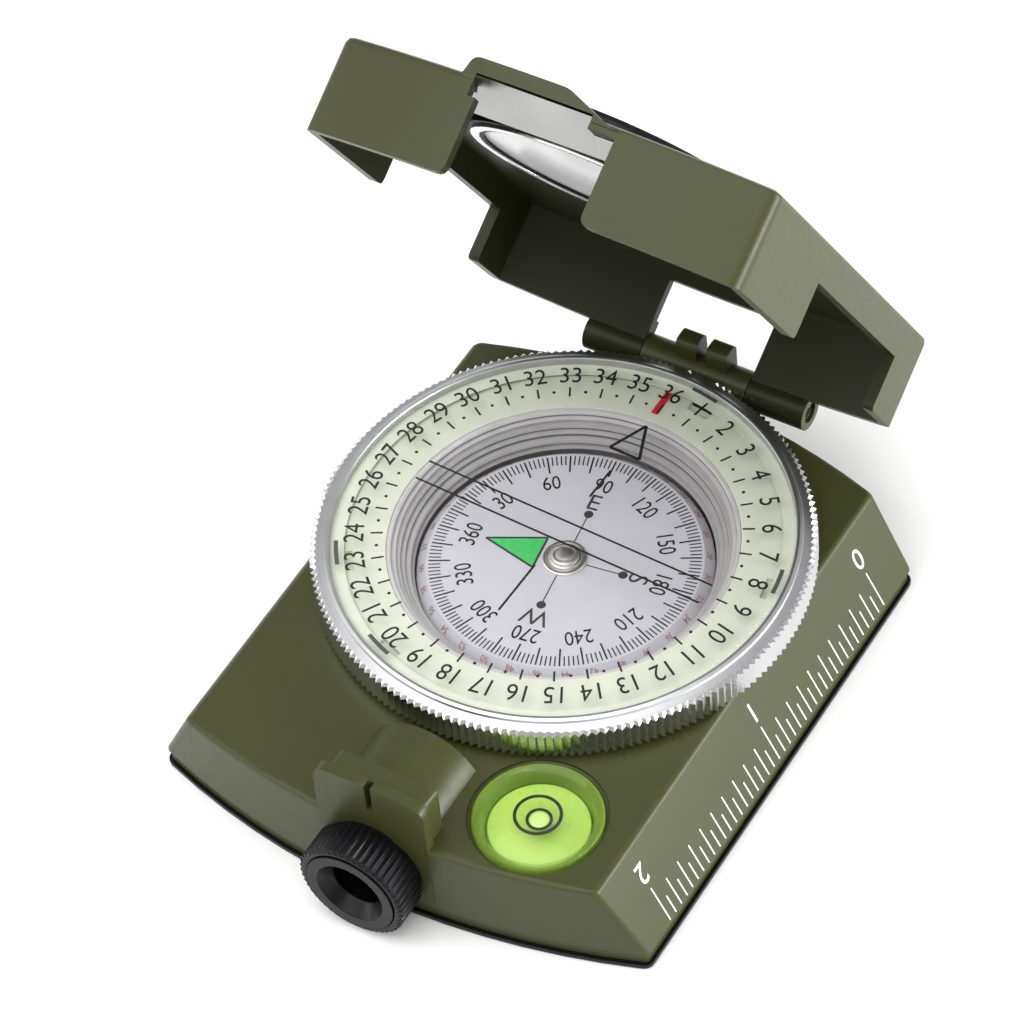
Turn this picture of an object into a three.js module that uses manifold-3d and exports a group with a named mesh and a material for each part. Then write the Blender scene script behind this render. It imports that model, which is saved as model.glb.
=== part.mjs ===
// Sighting compass with a folding lid. Millimetres, +Z up, dial axis on Z, underside on z = 0.
// +Y points at the hinge, -Y at the eyepiece, +X at the ruler edge. The lid is stored open.
import * as THREE from 'three'
import Module from 'manifold-3d'
import { mergeVertices } from 'three/addons/utils/BufferGeometryUtils.js'

const wasm = await Module()
wasm.setup()

// ---- driving dimensions ----
const TOP_HALF = 26.7
const FOOT_HALF = 31.9
const TOP_Z = 12.86
const FOOT_Z = 2.58
const COVER_T = 0.8
const FRONT_Y = -43.6
const FRONT_R = 95
const REAR_Y_TOP = 29.47
const REAR_Y_FOOT = 30.9
const REAR_R = 83
const WALL = 2
const RUN = 0.08

const BEZEL_R = 29.2
const BEZEL_Z0 = 13.4
const BEZEL_Z1 = 17.9
const BEZEL_TEETH = 162
const COLLAR_R = 25.5
const COLLAR_TOP = 15.4
const CAPSULE_R = 20.9
const CARD_R = 16.1
const CARD_Z = 13.1

const EYE_X = 0
const EYE_Z = 7.2
const FOCUS_R = 6.75
const BARREL_R = 5.6

const LEVEL = new THREE.Vector2(15.8, -33.4)
const LEVEL_R = 8.03
const LEVEL_FLOOR = 8.9

const HINGE = new THREE.Vector3(0, 32.03, 13.74)
const KNUCKLE_R = 2.25
const PIN_R = 1.2
const KNUCKLE_IN = 7.1
const KNUCKLE_OUT = 14.8
const LID_OPEN = THREE.MathUtils.degToRad(59.4)

const LID_HALF = 26.83
const LID_FRONT_Y = -40.98
const LID_REAR_Y = 31.6
const LID_REAR_R = 68
const LID_Z0 = 14.65
const LID_Z1 = 25.9
const LID_WALL = 1.4
const WINDOW_Y = -19
const WINDOW_R = 14.5

// ---- materials ----
const material = (color, roughness, metalness, opacity = 1) => new THREE.MeshStandardMaterial({
  color, roughness, metalness, opacity, transparent: opacity < 1,
})
const paint = material(0x4d4f30, 0.42, 0.15)
const blackPlastic = material(0x17181a, 0.5, 0)
const aluminium = material(0xd5d6d8, 0.22, 0.95)
const steel = material(0xa9abad, 0.3, 0.9)
const luminous = material(0xdee4cd, 0.55, 0)
const cardWhite = material(0xbebcc8, 0.5, 0)
const lime = material(0xa5d75a, 0.25, 0)
const red = material(0xb3202c, 0.5, 0)
const brass = material(0xb79a55, 0.3, 0.9)
const clear = material(0xe8f0ee, 0.05, 0, 0.35)
const mirror = material(0xb9bcbd, 0.08, 0.95)

// ---- solid helpers ----
const toSolid = (geometry) => {
  const bare = geometry.clone()
  bare.deleteAttribute('normal')
  bare.deleteAttribute('uv')
  const merged = mergeVertices(bare, 1e-4)
  return new wasm.Manifold(new wasm.Mesh({
    numProp: 3,
    vertProperties: new Float32Array(merged.attributes.position.array),
    triVerts: new Uint32Array(merged.index.array),
  }))
}

const toGeometry = (solid) => {
  const mesh = solid.getMesh()
  const geometry = new THREE.BufferGeometry()
  geometry.setAttribute('position', new THREE.BufferAttribute(new Float32Array(mesh.vertProperties), 3))
  geometry.setIndex(new THREE.BufferAttribute(new Uint32Array(mesh.triVerts), 1))
  const flat = geometry.toNonIndexed()
  flat.computeVertexNormals()
  return flat
}

const carve = (body, cuts) => cuts.reduce((left, cut) => left.subtract(cut), body)
const join = (bodies) => bodies.reduce((left, right) => left.add(right))

const box = (x0, x1, y0, y1, z0, z1) => {
  const geometry = new THREE.BoxGeometry(x1 - x0, y1 - y0, z1 - z0)
  return geometry.translate((x0 + x1) / 2, (y0 + y1) / 2, (z0 + z1) / 2)
}

// Turned shape about Z from a closed list of [radius, z] points.
const turned = (points, segments = 48) => {
  const profile = points.map(([r, z]) => new THREE.Vector2(r, z))
  if (profile[0].x > 0) profile.push(profile[0].clone())
  return new THREE.LatheGeometry(profile, segments).rotateX(Math.PI / 2)
}

const disc = (x, y, r, z0, z1, segments = 48) =>
  turned([[0, z0], [r, z0], [r, z1], [0, z1]], segments).translate(x, y, 0)

const ring = (inner, outer, z0, z1, segments = 48) =>
  turned([[inner, z0], [outer, z0], [outer, z1], [inner, z1]], segments)

// Turned about Y through (x, z): points are [radius, y].
const turnedY = (points, x, z, segments = 48) =>
  turned(points, segments).rotateX(-Math.PI / 2).translate(x, 0, z)

const rod = (x0, x1, y, z, r, segments = 28) =>
  disc(0, 0, r, x0, x1, segments).rotateY(Math.PI / 2).translate(0, y, z)

const rodY = (y0, y1, x, z, r, segments = 48) =>
  disc(0, 0, r, -y1, -y0, segments).rotateX(Math.PI / 2).translate(x, 0, z)

// Stacked outlines with the same point count, closed at both ends.
const loft = (levels) => {
  const count = levels[0].points.length
  const positions = levels.flatMap(({ points, z }) => points.flatMap((p) => [p.x, p.y, z]))
  const index = []
  for (let k = 0; k + 1 < levels.length; k += 1) {
    for (let i = 0; i < count; i += 1) {
      const a = k * count + i
      const b = k * count + (i + 1) % count
      index.push(a, b, b + count, a, b + count, a + count)
    }
  }
  const caps = THREE.ShapeUtils.triangulateShape(levels[0].points, [])
  const lift = (levels.length - 1) * count
  caps.forEach(([a, b, c]) => index.push(a, c, b, a + lift, b + lift, c + lift))
  const geometry = new THREE.BufferGeometry()
  geometry.setAttribute('position', new THREE.Float32BufferAttribute(positions, 3))
  geometry.setIndex(index)
  return geometry
}

// Outline with straight sides, bowed front and rear and rounded corners, counter-clockwise.
const outline = ({ half, front, frontR, rear, rearR, corner, inset = 0 }) => {
  const hw = half - inset
  const fr = frontR - inset
  const rr = rearR - inset
  const frontAt = (x) => front + inset + fr - Math.sqrt(fr * fr - x * x)
  const rearAt = (x) => rear - inset - rr + Math.sqrt(rr * rr - x * x)
  const cut = Math.max(corner - inset, 0.25)
  const points = []
  const arcSteps = 14
  const bend = (a, b, c) => {
    for (let i = 0; i <= 4; i += 1) {
      const t = i / 4
      points.push(new THREE.Vector2(
        a.x * (1 - t) ** 2 + 2 * b.x * t * (1 - t) + c.x * t * t,
        a.y * (1 - t) ** 2 + 2 * b.y * t * (1 - t) + c.y * t * t,
      ))
    }
  }
  const at = (x, y) => new THREE.Vector2(x, y)
  const inner = hw - cut
  for (let i = 1; i < arcSteps; i += 1) {
    const x = -inner + 2 * inner * i / arcSteps
    points.push(at(x, frontAt(x)))
  }
  bend(at(inner, frontAt(inner)), at(hw, frontAt(hw)), at(hw, frontAt(hw) + cut))
  bend(at(hw, rearAt(hw) - cut), at(hw, rearAt(hw)), at(inner, rearAt(inner)))
  for (let i = 1; i < arcSteps; i += 1) {
    const x = inner - 2 * inner * i / arcSteps
    points.push(at(x, rearAt(x)))
  }
  bend(at(-inner, rearAt(inner)), at(-hw, rearAt(hw)), at(-hw, rearAt(hw) - cut))
  bend(at(-hw, frontAt(hw) + cut), at(-hw, frontAt(hw)), at(-inner, frontAt(inner)))
  return points
}

const housingOutline = (z, inset = 0) => {
  const t = THREE.MathUtils.clamp((z - FOOT_Z) / (TOP_Z - FOOT_Z), 0, 1)
  return outline({
    half: THREE.MathUtils.lerp(FOOT_HALF, TOP_HALF, t),
    front: FRONT_Y,
    frontR: FRONT_R,
    rear: THREE.MathUtils.lerp(REAR_Y_FOOT, REAR_Y_TOP, t),
    rearR: REAR_R,
    corner: 0.8,
    inset,
  })
}

const lidOutline = (inset) => outline({
  half: LID_HALF,
  front: LID_FRONT_Y,
  frontR: 91,
  rear: LID_REAR_Y,
  rearR: LID_REAR_R,
  corner: 1.4,
  inset,
})

const level = (points, z) => ({ points, z })

const screwSpots = [[-24, -33], [24, -33], [-25, 20], [25, 20]]

// ---- base ----
const housingShell = () => {
  const outer = toSolid(loft([
    level(housingOutline(FOOT_Z, 0.35), COVER_T),
    level(housingOutline(FOOT_Z, 0.35), FOOT_Z - 0.25),
    level(housingOutline(FOOT_Z), FOOT_Z),
    level(housingOutline(TOP_Z - 0.5), TOP_Z - 0.5),
    level(housingOutline(TOP_Z, 0.14), TOP_Z - 0.15),
    level(housingOutline(TOP_Z, 0.5), TOP_Z),
  ]))
  const pocket = toSolid(loft([
    level(housingOutline(FOOT_Z, WALL + 0.5), COVER_T - 1),
    level(housingOutline(FOOT_Z, WALL + 0.5), FOOT_Z),
    level(housingOutline(TOP_Z - WALL, WALL), TOP_Z - WALL),
  ]))
  const bosses = screwSpots.map(([x, y]) => toSolid(disc(x, y, 2.6, -1, TOP_Z, 24)))
  const capsuleWall = toSolid(disc(0, 0, CAPSULE_R + 1.3, -1, TOP_Z, 64))
  const levelWall = toSolid(disc(LEVEL.x, LEVEL.y, LEVEL_R + 1, LEVEL_FLOOR - 1.2, TOP_Z, 40))
  const barrelWall = toSolid(box(EYE_X - 8, EYE_X + 8, FRONT_Y, -36, 0, TOP_Z))
  return outer.subtract(carve(pocket, [...bosses, capsuleWall, levelWall, barrelWall]))
}

const frontSight = () => {
  const shape = new THREE.Shape()
  shape.moveTo(-6.8, 3.5)
  shape.lineTo(7.5, 3.5)
  shape.lineTo(7.5, 18.4)
  shape.quadraticCurveTo(7.4, 20, 5.8, 20.15)
  shape.quadraticCurveTo(0.3, 20.7, -4.8, 20.35)
  shape.quadraticCurveTo(-6.8, 20.2, -6.8, 18.2)
  shape.closePath()
  const plate = new THREE.ExtrudeGeometry(shape, { depth: 1.4, bevelEnabled: false, curveSegments: 6 })
  plate.rotateX(Math.PI / 2).translate(0, -42, 0)
  const back = new THREE.Shape()
  back.moveTo(-5.6, TOP_Z - 1)
  back.lineTo(7.1, TOP_Z - 1)
  back.lineTo(7.1, 18.4)
  back.quadraticCurveTo(7.1, 19.5, 6, 19.55)
  back.lineTo(-4.6, 19.7)
  back.quadraticCurveTo(-5.6, 19.6, -5.6, 18.6)
  back.closePath()
  const band = new THREE.ExtrudeGeometry(back, { depth: 2.8, bevelEnabled: false, curveSegments: 5 })
  band.rotateX(Math.PI / 2).translate(0, -39.5, 0)
  const slot = box(0, 0.8, -44, -41.9, 16.3, 24)
  return toSolid(plate).add(toSolid(band)).subtract(toSolid(slot))
}

const tubeHump = () => toSolid(rodY(-41.5, -31.1, EYE_X, 9.45, 7.28, 56))
  .subtract(toSolid(box(-12, 12, -50, -20, -5, TOP_Z - 1)))

const rearHinge = () => {
  const barrel = rod(-KNUCKLE_IN + 0.06, KNUCKLE_IN - 0.06, HINGE.y, HINGE.z, KNUCKLE_R)
  const web = box(-KNUCKLE_IN + 0.06, KNUCKLE_IN - 0.06, 27.5, HINGE.y, 10.7, 12.84)
  const neck = box(-KNUCKLE_IN + 0.06, KNUCKLE_IN - 0.06, 30.2, HINGE.y, 12, 14.4)
  const side = new THREE.Shape()
  side.moveTo(31.3, 14.4)
  side.lineTo(34.1, 14.4)
  side.lineTo(34.1, 17.4)
  side.quadraticCurveTo(34.1, 18.5, 33.1, 18.5)
  side.lineTo(32.3, 18.5)
  side.quadraticCurveTo(31.3, 18.5, 31.3, 17.4)
  side.closePath()
  const lugs = [-2.7, 1.3].map((x) =>
    new THREE.ExtrudeGeometry(side, { depth: 2.7, bevelEnabled: false, curveSegments: 5 })
      .rotateX(Math.PI / 2).rotateZ(Math.PI / 2).translate(x, 0, 0))
  return join([barrel, web, neck, ...lugs].map(toSolid))
}

const baseHousing = () => {
  const collar = toSolid(disc(0, 0, COLLAR_R, TOP_Z - 1, COLLAR_TOP, 64))
  const body = join([housingShell(), frontSight(), tubeHump(), rearHinge(), collar])
  const screwHoles = screwSpots.map(([x, y]) => toSolid(disc(x, y, 0.85, -1, 7, 16)))
  return carve(body, [
    toSolid(disc(0, 0, CAPSULE_R, -1, 20, 64)),
    toSolid(disc(LEVEL.x, LEVEL.y, LEVEL_R, LEVEL_FLOOR, 20, 56)),
    toSolid(rodY(-50, -35.9, EYE_X, EYE_Z, BARREL_R + RUN)),
    toSolid(rodY(-50, -42, EYE_X, EYE_Z, 6.1)),
    toSolid(rod(-20, 20, HINGE.y, HINGE.z, PIN_R + 0.03)),
    ...screwHoles,
  ])
}

const bottomCover = () => {
  const plate = toSolid(loft([
    level(housingOutline(FOOT_Z, 0.1), 0),
    level(housingOutline(FOOT_Z, -0.12), 0.2),
    level(housingOutline(FOOT_Z, -0.12), COVER_T - 0.05),
  ]))
  return carve(plate, screwSpots.map(([x, y]) => toSolid(disc(x, y, 1.75, -1, 2, 32))))
}

const coverScrew = (x, y) => {
  const profile = [[0, 0.1], [1.45, 0.1], [1.65, 0.25], [1.65, 0.72], [0.8, 0.72], [0.8, 5], [0, 5.4]]
  const head = turned(profile, 20)
  const cross = [box(-0.9, 0.9, -0.18, 0.18, 0, 0.42), box(-0.18, 0.18, -0.9, 0.9, 0, 0.42)]
  return carve(toSolid(head), cross.map(toSolid)).translate([x, y, 0])
}

const luminousRing = () => {
  const body = toSolid(ring(20.45, COLLAR_R, COLLAR_TOP + 0.02, 16.5, 64))
  const gaps = [-146, -113, 10, 80].map((degrees) => toSolid(box(24.2, 27, -1.5, 1.5, 15.9, 18))
    .rotate([0, 0, degrees]))
  return carve(body, gaps)
}

const capsuleLiner = () => turned([
  [17.8, 13.12], [20.8, 13.12], [20.8, 15.36], [20.38, 15.36], [20.38, 16.35], [19.9, 16.35], [19.9, 15.8],
  [19.4, 15.8], [19.4, 15], [18.9, 15], [18.9, 14.3], [18.4, 14.3], [18.4, 13.7], [17.8, 13.7],
], 48)

const capsuleBowl = () => turned([
  [0, 4], [19.2, 4], [20, 4.8], [20, 12.4], [20.82, 12.6], [20.82, 13.1],
  [18.7, 13.1], [18.7, 6], [18, 5], [0, 5],
], 48)

const pivotPost = () => turned([
  [0, 5.02], [3, 5.02], [3, 5.8], [1.2, 6.4], [0.5, 7.4], [0.5, CARD_Z - 0.1], [0, CARD_Z + 0.4],
], 32)

const bezelSpring = () => ring(25.9, 27.2, TOP_Z + 0.02, TOP_Z + 0.42, 48)

// ---- bezel ----
const bezelRing = () => {
  const count = BEZEL_TEETH * 2
  const profile = [
    [25.85, BEZEL_Z0, 0],
    [28.55, BEZEL_Z0, 1],
    [28.55, 17.1, 1],
    [28.3, 17.45, 0],
    [27.2, BEZEL_Z1 + 0.15, 0],
    [26.75, BEZEL_Z1 - 0.1, 0],
    [26.75, 16.95, 0],
    [25.85, 16.95, 0],
  ]
  const positions = []
  profile.forEach(([r, z, knurled]) => {
    for (let i = 0; i < count; i += 1) {
      const angle = 2 * Math.PI * i / count
      const reach = r + (knurled && i % 2 ? BEZEL_R - r : 0)
      positions.push(reach * Math.cos(angle), reach * Math.sin(angle), z)
    }
  })
  const index = []
  profile.forEach((_, k) => {
    const next = (k + 1) % profile.length
    for (let i = 0; i < count; i += 1) {
      const j = (i + 1) % count
      index.push(k * count + i, k * count + j, next * count + j)
      index.push(k * count + i, next * count + j, next * count + i)
    }
  })
  const geometry = new THREE.BufferGeometry()
  geometry.setAttribute('position', new THREE.Float32BufferAttribute(positions, 3))
  geometry.setIndex(index)
  return toSolid(geometry)
}

const bezelGlass = () => turned([[0, 17], [26.65, 17], [26.65, 17.9], [26.3, 18.15], [0, 18.15]], 64)

// ---- dial ----
const dialCard = () => turned([
  [1.6, CARD_Z - 0.4], [15.9, CARD_Z - 0.4], [17, 11.8], [17.3, 11.9], [CARD_R, CARD_Z], [1.6, CARD_Z],
], 64)

const dialMagnet = () => {
  const bar = toSolid(box(-12, 12, -2.4, 2.4, 10.6, CARD_Z - 0.45)).rotate([0, 0, 7.6])
  return bar.subtract(toSolid(disc(0, 0, 1.65, 9, 14, 32)))
}

const dialJewel = () => turned([
  [0.95, CARD_Z - 1], [1.52, CARD_Z - 1], [1.52, CARD_Z + 0.05], [2.6, CARD_Z + 0.05], [2.6, CARD_Z + 0.35],
  [1.9, CARD_Z + 0.5], [1.6, CARD_Z + 1], [0, CARD_Z + 1.15], [0, CARD_Z + 0.7], [0.95, CARD_Z - 0.4],
], 24)

// ---- level ----
const levelVial = () => turned([
  [6.4, 10.7], [7.45, 10.7], [7.45, 12.8], [7.1, 13.25], [5.5, 13.55], [0, 13.75],
  [0, 13.3], [5.3, 13.1], [6.4, 12.7],
], 40)

const levelBody = () => turned([
  [0, 8.95], [7.45, 8.95], [7.45, 10.65], [6.35, 10.65], [6.35, 11.1], [5.9, 11.3], [0, 11.5],
], 40)

// ---- eyepiece ----
const focusRing = () => {
  const teeth = 48
  const y0 = -48.6
  const y1 = -44
  const bands = [
    [5.68, y0 + 0.05, 0],
    [6.2, y0, 0],
    [6.45, y0 + 0.3, 1],
    [6.45, y1 - 0.3, 1],
    [6.02, y1, 0],
    [6.02, -42.6, 0],
    [5.68, -42.6, 0],
  ]
  const count = teeth * 4
  const positions = []
  bands.forEach(([r, y, ribbed]) => {
    for (let i = 0; i < count; i += 1) {
      const angle = 2 * Math.PI * i / count
      const reach = r + (ribbed && i % 4 < 2 ? FOCUS_R - r : 0)
      positions.push(EYE_X + reach * Math.cos(angle), y, EYE_Z + reach * Math.sin(angle))
    }
  })
  const index = []
  bands.forEach((_, k) => {
    const next = (k + 1) % bands.length
    for (let i = 0; i < count; i += 1) {
      const j = (i + 1) % count
      index.push(k * count + i, next * count + j, k * count + j)
      index.push(k * count + i, next * count + i, next * count + j)
    }
  })
  const geometry = new THREE.BufferGeometry()
  geometry.setAttribute('position', new THREE.Float32BufferAttribute(positions, 3))
  geometry.setIndex(index)
  return geometry
}

const eyepieceBarrel = () => turnedY([
  [3.1, -47.1], [4.3, -48.75], [BARREL_R, -48.75], [BARREL_R, -37.5],
  [4.95, -37.5], [4.95, -46.9], [3.1, -46.9],
], EYE_X, EYE_Z)

const eyepieceLens = () => turnedY([
  [0, -44.35], [3, -44.4], [4.9, -43.9], [4.9, -43.1], [0, -42.5],
], EYE_X, EYE_Z)

const lensRetainer = () => turnedY([
  [4, -42.8], [4.9, -43], [4.9, -41.9], [4, -41.9],
], EYE_X, EYE_Z)

const prism = () => {
  const shape = new THREE.Shape()
  shape.moveTo(-35.6, 3.2)
  shape.lineTo(-27.2, 3.2)
  shape.lineTo(-35.6, 10.6)
  shape.closePath()
  const wedge = new THREE.ExtrudeGeometry(shape, { depth: 8, bevelEnabled: false })
  return wedge.rotateX(Math.PI / 2).rotateZ(Math.PI / 2).translate(-4, 0, 0)
}

// ---- lid, drawn closed ----
const lidArch = () => {
  const shape = new THREE.Shape()
  shape.moveTo(-11, LID_Z1 - 0.6)
  shape.lineTo(8.6, LID_Z1 - 0.6)
  shape.lineTo(6.4, LID_Z1)
  shape.lineTo(2.6, 27.5)
  shape.quadraticCurveTo(1.9, 27.85, 1, 27.85)
  shape.lineTo(-9.2, 27.85)
  shape.quadraticCurveTo(-10.1, 27.8, -10.3, 27)
  shape.lineTo(-10.6, LID_Z1)
  shape.closePath()
  const bar = new THREE.ExtrudeGeometry(shape, { depth: 8, bevelEnabled: false, curveSegments: 5 })
  bar.rotateX(Math.PI / 2).translate(0, -33.1, 0)
  const trim = toSolid(loft([level(lidOutline(0), 20), level(lidOutline(0), 30)]))
  return toSolid(bar).intersect(trim)
}

// A gap from a to b, open below z0, whose lower corners are rounded by r. It is drawn in a wall's own plane.
const wallGap = (a, b, z0, z1, r, depth) => {
  const shape = new THREE.Shape()
  shape.moveTo(a - r, z0 - 2)
  shape.lineTo(b + r, z0 - 2)
  shape.lineTo(b + r, z0)
  shape.quadraticCurveTo(b, z0, b, z0 + r)
  shape.lineTo(b, z1)
  shape.lineTo(a, z1)
  shape.lineTo(a, z0 + r)
  shape.quadraticCurveTo(a, z0, a - r, z0)
  shape.closePath()
  const gap = new THREE.ExtrudeGeometry(shape, { depth, bevelEnabled: false, curveSegments: 4 })
  return gap.rotateX(Math.PI / 2)
}

const lidShell = () => {
  const outer = toSolid(loft([
    level(lidOutline(0), LID_Z0),
    level(lidOutline(0), LID_Z1 - 0.9),
    level(lidOutline(0.26), LID_Z1 - 0.26),
    level(lidOutline(0.9), LID_Z1),
  ]))
  const inside = toSolid(loft([
    level(lidOutline(LID_WALL), LID_Z0 - 2),
    level(lidOutline(LID_WALL), LID_Z1 - LID_WALL),
  ]))
  const shell = outer.subtract(inside).add(lidArch())
  const sideNotch = wallGap(-15.72, 17.11, LID_Z0, 21.38, 0.8, 80)
    .rotateZ(Math.PI / 2).translate(-40, 0, 0)
  const frontGap = wallGap(-8, 8.65, LID_Z0, LID_Z1 - LID_WALL, 1.2, 20).translate(0, -30, 0)
  const archPocket = box(-9, 5.4, -50, -33.9, LID_Z1 - LID_WALL - 1, 26.1)
  const rearGap = wallGap(-7.2, 7.2, LID_Z0, 22.5, 0.5, 20).translate(0, 40, 0)
  const cut = carve(shell, [
    ...[sideNotch, frontGap, rearGap, archPocket].map(toSolid),
    toSolid(disc(0, WINDOW_Y, 14.1, 20, 30)),
    toSolid(disc(0, WINDOW_Y, 15.95, LID_Z1 + 0.02, 30)),
  ])
  const knuckles = [[KNUCKLE_IN + 0.06, KNUCKLE_OUT], [-KNUCKLE_OUT, -KNUCKLE_IN - 0.06]].map(([x0, x1]) =>
    toSolid(rod(x0, x1, HINGE.y, HINGE.z, KNUCKLE_R)).add(toSolid(box(x0, x1, 30, 32, 14.2, 17.4))))
  return join([cut, ...knuckles]).subtract(toSolid(rod(-20, 20, HINGE.y, HINGE.z, PIN_R + RUN)))
}

const windowRing = () => turned([
  [13.2, 24.2], [14, 24.2], [14, 25.95], [15.8, 25.95],
  [15.8, 27.3], [15.4, 27.8], [13.6, 27.8], [13.2, 27.4],
], 48).translate(0, WINDOW_Y, 0)

const windowGasket = () => turned([
  [14.6, 22.9], [16.1, 22.9], [16.1, 24.45], [14.08, 24.45], [14.08, 24.12], [14.6, 24.12],
], 48).translate(0, WINDOW_Y, 0)

const windowGlass = () => disc(0, WINDOW_Y, WINDOW_R, 22.95, 24.05, 48)

const windowRim = () => ring(14.2, 15.3, 22.5, 22.85, 48).translate(0, WINDOW_Y, 0)

const sightHairline = () => box(-0.12, 0.12, WINDOW_Y - 13.1, WINDOW_Y + 13.1, 25, 25.24)

// A small mirror tilted under the arch.
const lidMirror = () => {
  const shape = new THREE.Shape()
  shape.moveTo(-40.2, 25.6)
  shape.lineTo(-35.7, 22.7)
  shape.lineTo(-35.35, 23.2)
  shape.lineTo(-39.6, 26)
  shape.closePath()
  const plate = new THREE.ExtrudeGeometry(shape, { depth: 13.2, bevelEnabled: false })
  return plate.rotateX(Math.PI / 2).rotateZ(Math.PI / 2).translate(-7.9, 0, 0)
}

// ---- assembly ----
const group = new THREE.Group()
group.name = 'sighting_compass'
const base = new THREE.Group()
base.name = 'base'
const lid = new THREE.Group()
lid.name = 'lid'
group.add(base, lid)

const put = (parent, name, shape, look) => {
  const geometry = shape instanceof THREE.BufferGeometry ? shape : toGeometry(shape)
  if (shape instanceof THREE.BufferGeometry) geometry.computeVertexNormals()
  const mesh = new THREE.Mesh(geometry, look)
  mesh.name = name
  parent.add(mesh)
  return mesh
}

put(base, 'base_housing', baseHousing(), paint)
put(base, 'bottom_cover', bottomCover(), blackPlastic)
screwSpots.forEach(([x, y], i) => put(base, `cover_screw_${i + 1}`, coverScrew(x, y), steel))
put(base, 'capsule_bowl', capsuleBowl(), blackPlastic)
put(base, 'capsule_liner', capsuleLiner(), clear)
put(base, 'capsule_lens', disc(0, 0, 19.35, 15.03, 15.5), clear)
put(base, 'luminous_ring', luminousRing(), luminous)
put(base, 'index_mark', box(-0.55, 0.25, 21.6, 25.2, 16.52, 16.66), red)
put(base, 'bezel_spring', bezelSpring(), steel)
put(base, 'pivot_post', pivotPost(), brass)
put(base, 'level_body', toSolid(levelBody()).translate([LEVEL.x, LEVEL.y, 0]), lime)
put(base, 'level_vial', toSolid(levelVial()).translate([LEVEL.x, LEVEL.y, 0]), clear)
put(base, 'prism', prism(), clear)
put(base, 'hinge_pin', rod(-KNUCKLE_OUT + 0.4, KNUCKLE_OUT - 0.4, HINGE.y, HINGE.z, PIN_R), steel)

put(base, 'bezel_ring', bezelRing(), aluminium)
put(base, 'bezel_glass', bezelGlass(), clear)
put(base, 'dial_card', dialCard(), cardWhite)
put(base, 'dial_magnet', dialMagnet(), steel)
put(base, 'dial_jewel', dialJewel(), aluminium)

put(base, 'focus_ring', focusRing(), blackPlastic)
put(base, 'eyepiece_barrel', eyepieceBarrel(), blackPlastic)
put(base, 'eyepiece_lens', eyepieceLens(), clear)
put(base, 'lens_retainer', lensRetainer(), steel)

const lidParts = [
  ['lid_shell', lidShell(), paint],
  ['window_ring', windowRing(), blackPlastic],
  ['window_gasket', windowGasket(), blackPlastic],
  ['window_glass', windowGlass(), clear],
  ['window_rim', windowRim(), aluminium],
  ['sight_hairline', sightHairline(), steel],
  ['lid_mirror', lidMirror(), mirror],
]
lid.position.copy(HINGE)
lid.rotation.x = -LID_OPEN
lidParts.forEach(([name, shape, look]) => {
  put(lid, name, shape, look).position.copy(HINGE).negate()
})

export default group
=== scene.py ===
"""Looks of the sighting compass.

Shapes are in millimetres and become metres when a mesh is made.
Noise scales, bump depths and lamps are in metres.
"""
import math

import bpy
from mathutils import Matrix, Vector


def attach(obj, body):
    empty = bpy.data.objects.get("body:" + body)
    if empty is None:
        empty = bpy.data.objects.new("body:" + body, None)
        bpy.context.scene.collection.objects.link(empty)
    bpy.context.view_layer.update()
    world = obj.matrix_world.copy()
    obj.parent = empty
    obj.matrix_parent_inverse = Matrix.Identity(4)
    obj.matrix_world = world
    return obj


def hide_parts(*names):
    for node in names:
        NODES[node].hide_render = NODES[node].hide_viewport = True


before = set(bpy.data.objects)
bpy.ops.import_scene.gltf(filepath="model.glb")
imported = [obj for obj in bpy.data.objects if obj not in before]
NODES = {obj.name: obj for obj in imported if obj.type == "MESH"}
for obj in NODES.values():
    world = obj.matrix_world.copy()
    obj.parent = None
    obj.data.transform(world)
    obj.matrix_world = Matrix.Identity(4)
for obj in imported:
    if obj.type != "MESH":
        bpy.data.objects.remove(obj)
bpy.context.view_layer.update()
MM = 0.001

# ---- sizes shared with the CAD ----
TOP_HALF, TOP_Z = 26.7, 12.86
FOOT_HALF, FOOT_Z = 31.9, 2.58
BEZEL_R, BEZEL_Z0 = 29.2, 13.4
GLASS_TOP = 18.15
CARD_Z = 13.1
CARD_N_BEARING = -97.6
BEZEL_TURN = 2.4
LEVEL_X, LEVEL_Y = 15.8, -33.4
LEVEL_FLOOR = 8.95
HINGE_Y, HINGE_Z = 32.03, 13.74
LID_OPEN = math.radians(59.4)
LID_MIDDLE = Vector((0, -5, 20))
PIN_HALF, PIN_R = 14.4, 1.2
WINDOW_Y = -19.0
INCH = 25.4
PRINT_T = 0.02
WELD_GAP = 0.002

# ---- camera ----
CAM_AZ, CAM_EL, CAM_ROLL = math.radians(35.173), math.radians(49.121), math.radians(-6.348)
CAM_DISTANCE = 607.992
CAM_LENS = 182.03
CAM_TARGET = Vector((-11.652, 7.036, 8.0))


# ---- node helpers ----
NOISE_RANGE = (0.3, 0.7)


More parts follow.
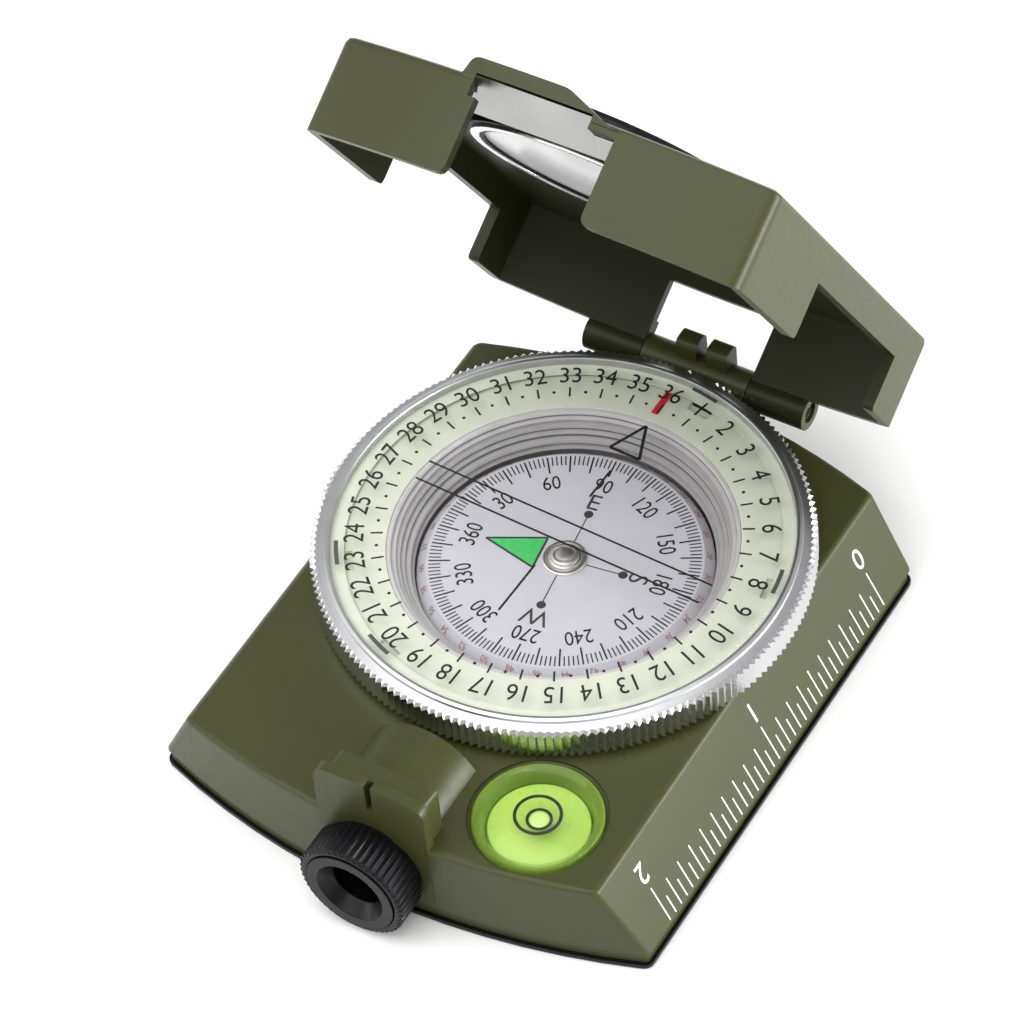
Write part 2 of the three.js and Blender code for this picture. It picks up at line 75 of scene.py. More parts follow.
class Look:
    """A material being built: adds nodes and joins them up."""

    def __init__(self, name, color, roughness, metallic=0.0, **sockets):
        self.material = bpy.data.materials.new(name)
        self.material.use_nodes = True
        self.tree = self.material.node_tree
        self.shader = self.tree.nodes["Principled BSDF"]
        self.set(self.shader, "Base Color", (*color, 1.0))
        self.set(self.shader, "Roughness", roughness)
        self.set(self.shader, "Metallic", metallic)
        for key, value in sockets.items():
            self.set(self.shader, key.replace("_", " "), value)

    def set(self, node, key, value):
        node.inputs[key].default_value = value

    def node(self, kind, **props):
        item = self.tree.nodes.new(kind)
        for key, value in props.items():
            setattr(item, key, value)
        return item

    def link(self, out, into):
        self.tree.links.new(out, into)

    def here(self):
        return self.node("ShaderNodeTexCoord").outputs["Object"]

    def noise(self, scale, detail=3.0):
        item = self.node("ShaderNodeTexNoise")
        self.set(item, "Scale", scale)
        self.set(item, "Detail", detail)
        self.link(self.here(), item.inputs["Vector"])
        return item.outputs["Fac"]

    def color(self, value, low, high):
        """Base colour that runs from low to high over the middle of the noise's range."""
        item = self.node("ShaderNodeValToRGB")
        for stop, position, color in zip(item.color_ramp.elements, NOISE_RANGE, (low, high)):
            stop.position = position
            stop.color = (*color, 1)
        self.link(value, item.inputs["Fac"])
        self.link(item.outputs["Color"], self.shader.inputs["Base Color"])

    def roughness(self, value, low, high):
        """Roughness that runs from low to high over the middle of the noise's range."""
        item = self.node("ShaderNodeMapRange")
        self.set(item, "From Min", NOISE_RANGE[0])
        self.set(item, "From Max", NOISE_RANGE[1])
        self.set(item, "To Min", low)
        self.set(item, "To Max", high)
        self.link(value, item.inputs["Value"])
        self.link(item.outputs["Result"], self.shader.inputs["Roughness"])

    def bump(self, value, distance, strength=1.0):
        item = self.node("ShaderNodeBump")
        self.set(item, "Distance", distance)
        self.set(item, "Strength", strength)
        self.link(value, item.inputs["Height"])
        self.link(item.outputs["Normal"], self.shader.inputs["Normal"])

    def alpha_by_angle(self, faced, glance, power):
        """Alpha that grows from faced, seen square on, to glance, seen edge on."""
        weight = self.node("ShaderNodeLayerWeight")
        self.set(weight, "Blend", 0.5)
        curve = self.node("ShaderNodeMath", operation="POWER")
        curve.inputs[1].default_value = power
        self.link(weight.outputs["Facing"], curve.inputs[0])
        item = self.node("ShaderNodeMapRange")
        self.set(item, "To Min", faced)
        self.set(item, "To Max", glance)
        self.link(curve.outputs["Value"], item.inputs["Value"])
        self.link(item.outputs["Result"], self.shader.inputs["Alpha"])


def scaled(color, factor):
    return tuple(min(c * factor, 1.0) for c in color)


def paint_look(name, color, level=0.27):
    look = Look(name, color, 0.4, Specular_IOR_Level=level)
    look.color(look.noise(60), scaled(color, 0.97), scaled(color, 1.03))
    look.roughness(look.noise(900), 0.34, 0.4)
    look.bump(look.noise(2600, 2.0), 0.000004, 0.5)
    return look.material


def plastic_look(name, color, rough=0.45, grain=4000, level=0.5, vary=0.05):
    look = Look(name, color, rough, Specular_IOR_Level=level)
    look.color(look.noise(300), scaled(color, 1 - vary), scaled(color, 1 + vary))
    look.roughness(look.noise(700), rough - 0.06, rough + 0.08)
    look.bump(look.noise(grain, 2.0), 0.00001, 0.5)
    return look.material


def metal_look(name, color, rough, scale=1500):
    look = Look(name, color, rough, 1.0)
    brushed = look.noise(scale, 4.0)
    look.color(look.noise(250), scaled(color, 0.92), scaled(color, 1.05))
    look.roughness(brushed, max(rough - 0.06, 0.03), rough + 0.1)
    look.bump(brushed, 0.000002, 0.6)
    return look.material


def turned_metal_look(name, color, rough, pitch=5200):
    """Metal faced on a lathe: fine rings about the dial's axis."""
    look = Look(name, color, rough, 1.0)
    spin = look.node("ShaderNodeVectorMath", operation="MULTIPLY")
    look.link(look.here(), spin.inputs[0])
    spin.inputs[1].default_value = (1, 1, 0)
    radius = look.node("ShaderNodeVectorMath", operation="LENGTH")
    look.link(spin.outputs["Vector"], radius.inputs[0])
    rings = look.node("ShaderNodeTexNoise", noise_dimensions="1D")
    look.set(rings, "Scale", pitch)
    look.set(rings, "Detail", 3.0)
    look.link(radius.outputs["Value"], rings.inputs["W"])
    look.color(look.noise(350), scaled(color, 0.93), scaled(color, 1.04))
    look.roughness(rings.outputs["Fac"], max(rough - 0.05, 0.03), rough + 0.08)
    look.bump(rings.outputs["Fac"], 0.000003, 0.5)
    return look.material


def print_look(name, color, rough=0.55):
    look = Look(name, color, rough)
    look.color(look.noise(1200), scaled(color, 0.88), scaled(color, 1.12))
    look.roughness(look.noise(1500), rough - 0.08, rough + 0.08)
    return look.material


def clear_look(name, shine, rough=0.02):
    """Thin clear plastic or glass: lets light straight through and reflects at a glance."""
    look = Look(name, (1, 1, 1), rough, 1.0)
    look.roughness(look.noise(160), rough, rough + 0.03)
    look.alpha_by_angle(shine, 0.85, 5)
    return look.material


def veiled_look(name, color, clear, veil, rough=0.08):
    """Clear when faced, and milky with its own colour at a glance."""
    look = Look(name, color, rough)
    look.color(look.noise(200), scaled(color, 0.94), scaled(color, 1.04))
    look.alpha_by_angle(clear, veil, 1)
    return look.material


OLIVE = (0.041, 0.046, 0.013)
LOOKS = {
    "paint": paint_look("olive_paint", OLIVE),
    # A darker copy of the olive paint: painted shade for the inside of the lid.
    "painted_shade_inside": paint_look("olive_paint_painted_shade", scaled(OLIVE, 0.42), 0.2),
    "black": plastic_look("black_plastic", (0.004, 0.004, 0.005), 0.3, level=0.2, vary=0.2),
    "dull_black": plastic_look("dull_black_plastic", (0.006, 0.006, 0.007), 0.5, level=0.2, vary=0.2),
    "aluminium": turned_metal_look("bezel_aluminium", (0.5, 0.5, 0.51), 0.36),
    "knurl": metal_look("knurled_aluminium", (0.66, 0.66, 0.67), 0.12, scale=2500),
    "steel": metal_look("bright_steel", (0.62, 0.62, 0.63), 0.22),
    "nickel": turned_metal_look("jewel_nickel", (0.86, 0.83, 0.8), 0.34),
    "brass": metal_look("pivot_brass", (0.75, 0.56, 0.25), 0.2),
    "luminous": plastic_look("luminous_plastic", (0.64, 0.67, 0.55), 0.5, 1500, vary=0.03),
    "card": plastic_look("dial_card_print", (0.7, 0.69, 0.75), 0.5, 2500, vary=0.02),
    "wall": plastic_look("capsule_wall", (0.54, 0.53, 0.53), 0.12, 900),
    "arc_black": plastic_look("arc_plastic", (0.07, 0.07, 0.072), 0.15, 900),
    "wall_shade": plastic_look("capsule_wall_shade", (0.17, 0.17, 0.172), 0.15, 900),
    "lime": plastic_look("level_lime", (0.4, 0.62, 0.1), 0.3, 600, vary=0.03),
    "bubble": plastic_look("level_bubble", (0.5, 0.75, 0.2), 0.2, 600),
    "rim": metal_look("window_rim_metal", (0.8, 0.8, 0.8), 0.25, scale=500),
    "mirror": metal_look("lid_mirror_face", (0.42, 0.42, 0.41), 0.3, scale=500),
    "clear": clear_look("clear_glass", 0.035),
    "faint": clear_look("capsule_glass", 0.004),
    "crystal": clear_look("bezel_crystal", 0.012),
    "pane": veiled_look("window_pane", (0.86, 0.86, 0.87), 0.3, 0.92, 0.2),
    "vial": veiled_look("level_wall", (0.36, 0.58, 0.08), 0.2, 0.6),
    "ink": print_look("black_ink", (0.008, 0.008, 0.009)),
    "grey_ink": print_look("grey_ink", (0.06, 0.06, 0.065)),
    "white_ink": print_look("white_ink", (0.8, 0.81, 0.79)),
    "red_ink": print_look("red_ink", (0.62, 0.015, 0.03)),
    "pale_red_ink": print_look("pale_red_ink", (0.5, 0.2, 0.22)),
    "green_ink": print_look("green_ink", (0.09, 0.7, 0.18)),
}


# ---- mesh helpers ----
def add_piece(name, points, faces, look, body, slot, replaces=(), smooth=0.0):
    """A mesh piece from points in millimetres; edges sharper than smooth degrees stay sharp."""
    mesh = bpy.data.meshes.new(name)
    mesh.from_pydata([tuple(c * MM for c in p) for p in points], [], faces)
    mesh.update()
    piece = bpy.data.objects.new(name, mesh)
    bpy.context.scene.collection.objects.link(piece)
    mesh.materials.append(LOOKS[look])
    if smooth:
        mesh.polygons.foreach_set("use_smooth", [True] * len(mesh.polygons))
        mesh.set_sharp_from_angle(angle=math.radians(smooth))
    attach(piece, body)
    if replaces:
        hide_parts(*replaces)
    return piece


def turned(profile, segments=128):
    """Points and faces of a closed ring profile [(r, z), ...] turned about Z."""
    points, faces = [], []
    count = len(profile)
    for i in range(segments):
        angle = 2 * math.pi * i / segments
        c, s = math.cos(angle), math.sin(angle)
        points += [(r * c, r * s, z) for r, z in profile]
    for i in range(segments):
        a, b = i * count, (i + 1) % segments * count
        for k in range(count):
            m = (k + 1) % count
            faces.append((a + k, b + k, b + m, a + m))
    return points, faces


def turned_solid(profile, segments=96):
    """As turned, for a profile that starts and ends on the axis."""
    points = [(0, 0, profile[0][1])]
    rim = profile[1:-1]
    count = len(rim)
    for i in range(segments):
        angle = 2 * math.pi * i / segments
        points += [(r * math.cos(angle), r * math.sin(angle), z) for r, z in rim]
    points.append((0, 0, profile[-1][1]))
    last = len(points) - 1
    faces = []
    for i in range(segments):
        a, b = 1 + i * count, 1 + (i + 1) % segments * count
        faces.append((0, b, a))
        faces.append((last, a + count - 1, b + count - 1))
        for k in range(count - 1):
            faces.append((a + k, b + k, b + k + 1, a + k + 1))
    return points, faces


def shifted(shape, matrix):
    points, faces = shape
    return [tuple(matrix @ Vector(p)) for p in points], faces


class Print:
    """Thin marks gathered into one mesh. Each mark is laid in a plane given by a matrix."""

    def __init__(self):
        self.points = []
        self.faces = []

    def prism(self, outline, matrix, thick=PRINT_T):
        base = len(self.points)
        n = len(outline)
        for z in (0, thick):
            self.points += [tuple(matrix @ Vector((x, y, z))) for x, y in outline]
        self.faces.append(tuple(base + n - 1 - i for i in range(n)))
        self.faces.append(tuple(base + n + i for i in range(n)))
        for i in range(n):
            j = (i + 1) % n
            self.faces.append((base + i, base + j, base + n + j, base + n + i))

    def bar(self, x0, y0, x1, y1, width, matrix):
        along = Vector((x1 - x0, y1 - y0)).normalized()
        side = Vector((-along.y, along.x)) * width / 2
        a, b = Vector((x0, y0)), Vector((x1, y1))
        self.prism([tuple(a - side), tuple(b - side), tuple(b + side), tuple(a + side)], matrix)

    def dot(self, x, y, r, matrix, sides=16):
        turn = [2 * math.pi * i / sides for i in range(sides)]
        self.prism([(x + r * math.cos(t), y + r * math.sin(t)) for t in turn], matrix)

    def outline(self, corners, width, matrix):
        for i, (x0, y0) in enumerate(corners):
            x1, y1 = corners[(i + 1) % len(corners)]
            self.bar(x0, y0, x1, y1, width, matrix)

    def text(self, words, height, matrix, stretch=1.0):
        points, faces = glyphs(words)
        base = len(self.points)
        for x, y, z in points:
            flat = Vector((x * height * stretch, y * height, z * PRINT_T))
            self.points.append(tuple(matrix @ flat))
        self.faces += [tuple(base + i for i in face) for face in faces]

    def piece(self, name, look, body, slot):
        return add_piece(name, self.points, self.faces, look, body, slot)


GLYPHS = {}
DIGIT_HEIGHT = 0.695


def glyphs(words):
    """Mesh of the words in the built-in font: a digit is one high, the whole centred, z from 0 to 1."""
    if words in GLYPHS:
        return GLYPHS[words]
    curve = bpy.data.curves.new("words", "FONT")
    curve.body = words
    curve.extrude = 0.5
    curve.resolution_u = 4
    item = bpy.data.objects.new("words", curve)
    bpy.context.scene.collection.objects.link(item)
    bpy.context.view_layer.update()
    mesh = bpy.data.meshes.new_from_object(item.evaluated_get(bpy.context.evaluated_depsgraph_get()))
    xs = [v.co.x for v in mesh.vertices]
    ys = [v.co.y for v in mesh.vertices]
    mid_x, mid_y = (min(xs) + max(xs)) / 2, (min(ys) + max(ys)) / 2
    points = [((v.co.x - mid_x) / DIGIT_HEIGHT, (v.co.y - mid_y) / DIGIT_HEIGHT, v.co.z + 0.5)
              for v in mesh.vertices]
    faces = [tuple(p.vertices) for p in mesh.polygons]
    bpy.data.objects.remove(item)
    bpy.data.curves.remove(curve)
    bpy.data.meshes.remove(mesh)
    GLYPHS[words] = (points, faces)
    return GLYPHS[words]


def at_bearing(degrees, radius, z):
    """Plane at a bearing from +Y, with its Y axis pointing outward."""
    turn = Matrix.Rotation(-math.radians(degrees), 4, "Z")
    return turn @ Matrix.Translation((0, radius, z))


def flat(z):
    return Matrix.Translation((0, 0, z))


# ---- carried-over CAD nodes ----
def dress(node, look, bevel=0.0, sharp=30.0):
    """Gives a CAD node its look, smooth shading, and a bevel on edges sharper than sharp degrees."""
    item = NODES[node]
    item.data.materials.clear()
    item.data.materials.append(LOOKS[look])
    for polygon in item.data.polygons:
        polygon.material_index = 0
    item.data.polygons.foreach_set("use_smooth", [True] * len(item.data.polygons))
    weld = item.modifiers.new("weld", "WELD")
    weld.merge_threshold = WELD_GAP * MM
    if bevel:
        soften = item.modifiers.new("soften", "BEVEL")
        soften.width = bevel * MM
        soften.segments = 3
        soften.limit_method = "ANGLE"
        soften.angle_limit = math.radians(sharp)
    weighted = item.modifiers.new("normals", "WEIGHTED_NORMAL")
    weighted.keep_sharp = True
    weighted.weight = 100


def lid_inside():
    """Paints shade on the lid's inner faces: a darker copy of the olive paint stands in for the shade
    inside the lid.
    """
    item = NODES["lid_shell"]
    item.data.materials.append(LOOKS["painted_shade_inside"])
    hinge = Vector((0, HINGE_Y, HINGE_Z))
    close = Matrix.Rotation(LID_OPEN, 3, "X")
    for polygon in item.data.polygons:
        middle = close @ (polygon.center / MM - hinge) + hinge
        facing = close @ polygon.normal
        if facing.dot(middle - LID_MIDDLE) < 0:
            polygon.material_index = 1


def dress_nodes():
    dress("base_housing", "paint", 0.35, 28)
    dress("lid_shell", "paint", 0.3, 28)
    lid_inside()
    for node in ("bottom_cover", "eyepiece_barrel", "window_ring", "focus_ring"):
        dress(node, "black", 0.08, 35)
    dress("window_gasket", "dull_black", 0.08, 35)
    dress("capsule_bowl", "wall", 0.08, 35)
    for i in range(1, 5):
        dress(f"cover_screw_{i}", "steel", 0.04, 35)
    for node in ("bezel_spring", "dial_magnet", "lens_retainer", "sight_hairline"):
        dress(node, "steel", 0.03, 35)
    dress("pivot_post", "brass")
    dress("window_rim", "rim", 0.05, 35)
    dress("luminous_ring", "luminous", 0.08, 35)
    dress("dial_card", "card", 0.05, 25)
    dress("index_mark", "red_ink")
    for node in ("prism", "eyepiece_lens"):
        dress(node, "clear", 0.0, 25)
    dress("bezel_glass", "crystal", 0.0, 25)
    dress("capsule_lens", "faint", 0.0, 25)
    dress("window_glass", "pane", 0.0, 25)


# ---- bezel ----
def bezel_ring():
    """Knurled ring. A profile point is (radius, height, how far it follows the teeth)."""
    teeth = 188
    root = 28.72
    profile = [
        (25.85, BEZEL_Z0, 0), (27.9, BEZEL_Z0, 0), (28.2, BEZEL_Z0 + 0.25, 1), (28.2, 16.95, 1),
        (28.2, 17.28, 0.5), (28.05, 17.42, 0), (27.75, 17.55, 0), (27.65, 17.58, 0), (27.55, 17.85, 0),
        (27.2, 18.03, 0), (26.9, 18.0, 0), (26.8, 17.85, 0), (26.75, 16.96, 0), (25.2, 16.96, 0),
        (25.2, 16.86, 0), (25.85, 16.86, 0),
    ]
    bands = {"knurl": (1, 2, 3), "luminous": (12, 13, 14)}
    points, faces = turned([(r, z) for r, z, _ in profile], teeth * 2)
    n = len(profile)
    for index in range(len(points)):
        r, z, follow = profile[index % n]
        angle = math.pi * (index // n) / teeth
        crest = index // n % 2
        reach = r + follow * ((BEZEL_R if crest else root) - r)
        points[index] = (reach * math.cos(angle), reach * math.sin(angle), z)
    replaced = ("bezel_ring",)
    item = add_piece("bezel_knurled_ring", points, faces, "aluminium", "bezel", "aluminium", replaced, 20)
    for slot, (look, band) in enumerate(bands.items(), 1):
        item.data.materials.append(LOOKS[look])
        for polygon in item.data.polygons:
            if polygon.index % n in band:
                polygon.material_index = slot


def bezel_clips():
    """Four dark arcs laid flat on the glass over the edge of the luminous ring; each spans half degrees
    both ways.
    """
    inner, outer = 25.75, 26.25
    half = 4
    marks = Print()
    for middle in (-146, -113, 10, 80):
        turns = [math.radians(middle + k) for k in range(-half, half + 1)]
        rim = [(outer * math.cos(a), outer * math.sin(a)) for a in turns]
        rim += [(inner * math.cos(a), inner * math.sin(a)) for a in reversed(turns)]
        marks.prism(rim, flat(GLASS_TOP))
    marks.piece("bezel_clips", "arc_black", "bezel", "black_plastic")


def bezel_print():
    """Numbers, marks, sighting lines and triangle on the bezel's glass."""
    number_high, number_r = 2.35, 24.0
    mark_half, mark_r = 0.72, 21.35
    ink = Print()
    for n in range(1, 37):
        bearing = BEZEL_TURN + 10 * n
        ink.text(str(n), number_high, at_bearing(bearing, number_r, GLASS_TOP), 0.86)
        ink.bar(0, -mark_half, 0, mark_half, 0.24, at_bearing(bearing, mark_r, GLASS_TOP))
        ink.dot(0, 0, 0.2, at_bearing(bearing + 5, mark_r, GLASS_TOP))
    plane = at_bearing(BEZEL_TURN, 0, GLASS_TOP)
    for offset in (-1.45, 1.45):
        ink.bar(-19.2, offset, 19.2, offset, 0.26, plane)
    ink.bar(0, 5.9, 0, 10.5, 0.28, plane)
    ink.bar(0, -5.8, 0, -13.45, 0.28, plane)
    ink.outline([(0, 18.3), (-2.0, 13.5), (2.0, 13.5)], 0.38, plane)
    ink.piece("bezel_glass_print", "ink", "bezel", "clear_plastic")


# ---- capsule ----
def capsule_wall():
    """Stepped inner wall of the dial's well, with grey bands where the steps turn."""
    around = 160
    profile = [
        (17.8, 13.12), (20.8, 13.12), (20.8, 15.36), (20.38, 15.36), (20.38, 16.35), (20.0, 16.35),
        (19.9, 16.2), (19.9, 15.55), (19.4, 15.55), (19.4, 15.02), (18.95, 15.02), (18.9, 14.9),
        (18.9, 14.3), (18.45, 14.3), (18.4, 14.2), (18.4, 13.7), (17.85, 13.7), (17.8, 13.6),
    ]
    wall = turned(profile, around)
    add_piece("capsule_wall", *wall, "wall", "base", "clear_plastic", ("capsule_liner",), 40)
    ledge = turned([(17.45, 12.5), (18.66, 12.5), (18.66, 12.62), (17.45, 12.62)], around)
    add_piece("capsule_ledge", *ledge, "wall", "base", "clear_plastic", (), 40)
    lines = [(19.9, 15.62, 0.22), (18.9, 14.38, 0.2), (18.4, 13.76, 0.34)]
    for i, (r, z, tall) in enumerate(lines, 1):
        band = turned([(r - 0.03, z), (r + 0.02, z), (r + 0.02, z + tall), (r - 0.03, z + tall)], around)
        add_piece(f"capsule_wall_line_{i}", *band, "wall_shade", "base", "clear_plastic", (), 40)


# ---- dial card ----
def card_marks():
    """Degree scale and its numbers."""
    ink = Print()
    for angle in range(0, 360, 2):
        tens = angle % 10 == 0
        inner, width = (13.3, 0.2) if tens else (14.4, 0.15)
        ink.bar(0, inner, 0, 15.8, width, at_bearing(CARD_N_BEARING + angle, 0, CARD_Z))
    for degrees in range(30, 361, 30):
        ink.text(str(degrees), 2.0, at_bearing(CARD_N_BEARING + degrees, 11.8, CARD_Z), 0.78)
    ink.piece("dial_card_marks", "ink", "dial", "card")


def card_letters(north):
    """Letters with their dots and rays, and the outline of the north arrow."""
    ink = Print()
    for letter, degrees in (("E", 90), ("S", 180), ("W", 270)):
        bearing = CARD_N_BEARING + degrees
        plane = at_bearing(bearing, 0, CARD_Z)
        ink.text(letter, 2.3, at_bearing(bearing, 9.1, CARD_Z), 1.0)
        ink.dot(0, 7.2, 0.56, plane)
        ink.bar(0, 2.5, 0, 6.8, 0.14, plane)
    ink.outline(north, 0.26, at_bearing(CARD_N_BEARING, 0, CARD_Z) @ flat(PRINT_T))
    ink.piece("dial_card_letters", "grey_ink", "dial", "card")


def card_rim_marks():
    """Small numbers on the card's sloping rim."""
    ink = Print()
    divisions = 64
    tilt = Matrix.Translation((0, 16.65, 12.57)) @ Matrix.Rotation(-math.radians(45), 4, "X")
    for n in range(2, divisions + 1, 2):
        ink.text(str(n), 0.8, at_bearing(CARD_N_BEARING + n * 360 / divisions, 0, 0) @ tilt, 0.9)
    ink.piece("dial_card_rim_marks", "pale_red_ink", "dial", "card")


def card_print():
    north = [(0, 9.9), (-2.35, 3.1), (2.35, 3.1)]
    card_marks()
    card_letters(north)
    card_rim_marks()
    arrow = Print()
    arrow.prism(north, at_bearing(CARD_N_BEARING, 0, CARD_Z))
    arrow.piece("dial_north_arrow", "green_ink", "dial", "card")


def jewel_cap():
    """Turned cap over the pivot, with two grooves; heights are above the card."""
    profile = [
        (0, 0.7), (0.95, -0.4), (0.95, -1), (1.52, -1), (1.52, 0.05), (2.6, 0.05), (2.6, 0.32),
        (2.48, 0.42), (2.25, 0.42), (2.15, 0.3), (2.0, 0.3), (1.9, 0.52), (1.65, 0.6), (1.58, 0.84),
        (1.36, 0.92), (1.28, 0.8), (1.1, 0.8), (1.02, 0.98), (0.6, 1.1), (0, 1.13),
    ]
    shape = turned_solid([(r, CARD_Z + z) for r, z in profile])
    add_piece("dial_jewel_cap", *shape, "nickel", "dial", "aluminium", ("dial_jewel",), 25)


# ---- ruler edge ----
def slope_plane(y, t):
    """Plane on the +X slope, t of the way down; its X runs along +Y and its Y up the slope."""
    run = FOOT_HALF - TOP_HALF
    fall = TOP_Z - FOOT_Z
    up = Vector((-run, 0, fall)).normalized()
    along = Vector((0, 1, 0))
    out = along.cross(up)
    spot = Vector((TOP_HALF + run * t, y, TOP_Z - fall * t)) + out * 0.01
    return Matrix.Translation(spot) @ Matrix((along, up, out)).transposed().to_4x4()


def ruler_print():
    """Two-inch ruler; low, high and words are fractions of the way down the slope."""
    ink = Print()
    low, high, words = 0.966, 0.533, 0.34
    divisions = 20
    y_zero = 17.94
    full = (low - high) * math.hypot(FOOT_HALF - TOP_HALF, TOP_Z - FOOT_Z)
    for k in range(2 * divisions + 1):
        part = 1 if k % divisions == 0 else 0.8 if k % 2 == 0 else 0.5
        ink.bar(0, 0, 0, full * part, 0.17, slope_plane(y_zero - k * INCH / divisions, low))
    for inch in range(3):
        plane = slope_plane(y_zero - inch * INCH, words)
        ink.text(str(inch), 2.7, plane @ Matrix.Rotation(math.pi, 4, "Z"), 0.9)
    ink.piece("ruler_marks", "white_ink", "base", "paint")


# ---- level ----
def level_bowl(here):
    """Disc, clear wall, dome and the painted seat round them."""
    disc = turned_solid([
        (0, LEVEL_FLOOR), (5.9, LEVEL_FLOOR), (5.9, 11.0), (5.75, 11.22), (5.4, 11.3), (3, 11.42),
        (0, 11.45),
    ])
    wall = turned([
        (6.0, LEVEL_FLOOR), (7.45, LEVEL_FLOOR), (7.45, 12.75), (7.3, 12.95), (6.9, 13.0), (6.5, 12.8),
        (6.0, 11.4),
    ])
    dome = turned_solid([
        (0, 13.3), (4, 13.2), (6.4, 12.85), (6.85, 13.05), (5.5, 13.5), (3, 13.7), (0, 13.75),
    ])
    seat = turned([(7.5, LEVEL_FLOOR), (8.0, LEVEL_FLOOR), (8.0, 12.5), (7.85, 12.42), (7.5, 12.1)])
    add_piece("level_disc", *shifted(disc, here), "lime", "base", "level_lime", ("level_body",), 40)
    add_piece("level_wall", *shifted(wall, here), "vial", "base", "level_lime", ("level_vial",), 40)
    add_piece("level_dome", *shifted(dome, here), "crystal", "base", "clear_plastic", (), 60)
    add_piece("level_seat", *shifted(seat, here), "paint", "base", "paint", (), 40)


def level():
    """Round level; its bubble sits a little to one side."""
    here = Matrix.Translation((LEVEL_X, LEVEL_Y, 0))
    level_bowl(here)
    circle = turned([(2.42, 13.14), (2.8, 13.12), (2.8, 13.2), (2.42, 13.22)], 64)
    add_piece("level_target_ring", *shifted(circle, here), "ink", "base", "clear_plastic", (), 30)
    there = Matrix.Translation((LEVEL_X + 0.35, LEVEL_Y - 0.35, 0))
    edge = turned([(1.2, 12.95), (1.52, 12.94), (1.52, 13.02), (1.2, 13.03)], 48)
    add_piece("level_bubble_edge", *shifted(edge, there), "ink", "base", "clear_plastic", (), 30)
    bubble = turned_solid([(0, 12.6), (0.9, 12.65), (1.25, 12.8), (0.9, 12.97), (0, 13.02)], 48)
    add_piece("level_bubble", *shifted(bubble, there), "bubble", "base", "level_lime", (), 60)


# ---- lid ----
def lid_pose():
    """Turn about the hinge that raises a piece drawn with the lid shut."""
    hinge = Matrix.Translation((0, HINGE_Y, HINGE_Z))
    return hinge @ Matrix.Rotation(-LID_OPEN, 4, "X") @ hinge.inverted()


def slab(outline, x0, x1):
    """Points and faces of an outline [(y, z), ...] carried from x0 to x1."""
    n = len(outline)
    points = [(x, y, z) for x in (x0, x1) for y, z in outline]
    faces = [tuple(range(n)), tuple(2 * n - 1 - i for i in range(n))]
    faces += [(i, i + n, (i + 1) % n + n, (i + 1) % n) for i in range(n)]
    return points, faces


def lid_mirror():
    """Mirror plate tilted under the arch; its lower part carries on behind both blocks of the lid."""
    low, low_back = (-35.7, 22.7), (-35.35, 23.2)
    tall = [(-40.6, 25.86), low, low_back, (-39.8, 26.07)]
    short = [(-38.4, 24.44), low, low_back, (-37.3, 24.44)]
    left, right, gap = -8.95, 5.35, 0.01
    parts = [
        ("lid_mirror_plate", slab(tall, left, right), ("lid_mirror",)),
        ("lid_mirror_wing_left", slab(short, -13.2, left - gap), ()),
        ("lid_mirror_wing_right", slab(short, right + gap, 10.5), ()),
    ]
    for name, shape, replaced in parts:
        add_piece(name, *shifted(shape, lid_pose()), "mirror", "lid", "lid_mirror", replaced)


def window_seal():
    """Thin black line between the window's rim and its glass."""
    here = lid_pose() @ Matrix.Translation((0, WINDOW_Y, 0))
    seal = turned([(13.75, 22.6), (14.15, 22.6), (14.15, 22.9), (13.75, 22.9)])
    add_piece("window_seal", *shifted(seal, here), "dull_black", "lid", "black_plastic", (), 40)


# ---- hinge ----
def roll_pin():
    """Rolled steel pin, split along its length, in the hinge."""
    turns, inner = 28, 0.62
    start, end = math.radians(12), math.radians(348)
    outline = []
    for r, order in ((PIN_R, range(turns + 1)), (inner, range(turns, -1, -1))):
        outline += [(r, start + (end - start) * i / turns) for i in order]
    n = len(outline)
    points = []
    for x in (-PIN_HALF, PIN_HALF):
        points += [(x, HINGE_Y + r * math.cos(a), HINGE_Z + r * math.sin(a)) for r, a in outline]
    faces = [(k, k + n, (k + 1) % n + n, (k + 1) % n) for k in range(n)]
    half = n // 2
    for k in range(half - 1):
        faces.append((k, k + 1, n - 2 - k, n - 1 - k))
        faces.append((n + k, 2 * n - 1 - k, 2 * n - 2 - k, n + k + 1))
    add_piece("hinge_roll_pin", points, faces, "steel", "base", "steel", ("hinge_pin",), 40)


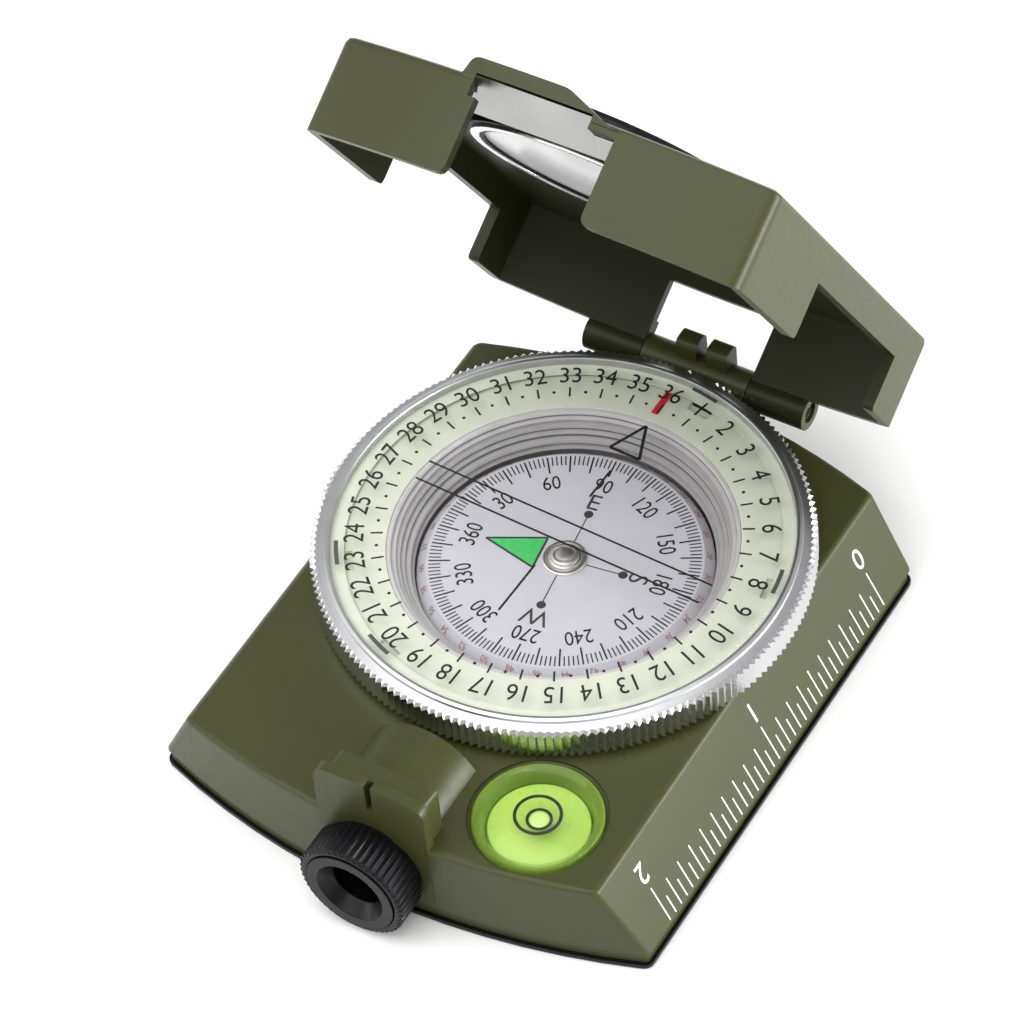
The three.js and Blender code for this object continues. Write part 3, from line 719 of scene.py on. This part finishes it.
# ---- stage ----
def floor():
    size = 3000
    points = [(-size, -size, 0), (size, -size, 0), (size, size, 0), (-size, size, 0)]
    mesh = bpy.data.meshes.new("floor")
    mesh.from_pydata([tuple(c * MM for c in p) for p in points], [], [(0, 1, 2, 3)])
    item = bpy.data.objects.new("floor", mesh)
    bpy.context.scene.collection.objects.link(item)
    mesh.materials.append(Look("pale_floor", (0.88, 0.88, 0.88), 0.9).material)


def camera():
    flat_back = Vector((math.sin(CAM_AZ), -math.cos(CAM_AZ), 0))
    back = flat_back * math.cos(CAM_EL) + Vector((0, 0, math.sin(CAM_EL)))
    across = Vector((math.cos(CAM_AZ), math.sin(CAM_AZ), 0))
    raised = back.cross(across)
    right = across * math.cos(CAM_ROLL) + raised * math.sin(CAM_ROLL)
    up = raised * math.cos(CAM_ROLL) - across * math.sin(CAM_ROLL)
    data = bpy.data.cameras.new("camera")
    data.lens = CAM_LENS
    data.sensor_width = 36.0
    data.clip_start = 0.01
    item = bpy.data.objects.new("camera", data)
    bpy.context.scene.collection.objects.link(item)
    turn = Matrix((right, up, back)).transposed().to_4x4()
    item.matrix_world = Matrix.Translation((CAM_TARGET + back * CAM_DISTANCE) * MM) @ turn
    bpy.context.scene.camera = item


def lamp(name, where, aim, size, power):
    data = bpy.data.lights.new(name, "AREA")
    data.shape = "RECTANGLE"
    data.size, data.size_y = size
    data.energy = power
    item = bpy.data.objects.new(name, data)
    bpy.context.scene.collection.objects.link(item)
    item.location = where
    item.rotation_euler = (Vector(aim) - Vector(where)).to_track_quat("-Z", "Y").to_euler()


def lights():
    """White surroundings, one large box overhead and a smaller one at each side."""
    world = bpy.data.worlds.new("studio")
    world.use_nodes = True
    back = world.node_tree.nodes["Background"]
    back.inputs["Color"].default_value = (1, 1, 1, 1)
    back.inputs["Strength"].default_value = 0.6
    bpy.context.scene.world = world
    lamp("top_box", (-0.1, -0.28, 0.9), (0, 0, 0.02), (1.15, 1.15), 10.5)
    lamp("right_box", (0.75, 0.2, 0.14), (0, 0, 0.04), (0.6, 0.26), 9)
    lamp("left_box", (-0.75, -0.3, 0.3), (0, 0, 0.04), (0.5, 0.4), 2)
    bpy.context.scene.view_settings.view_transform = "Standard"


camera()
lights()
floor()
dress_nodes()
bezel_ring()
bezel_clips()
bezel_print()
capsule_wall()
card_print()
jewel_cap()
ruler_print()
level()
roll_pin()
lid_mirror()
window_seal()
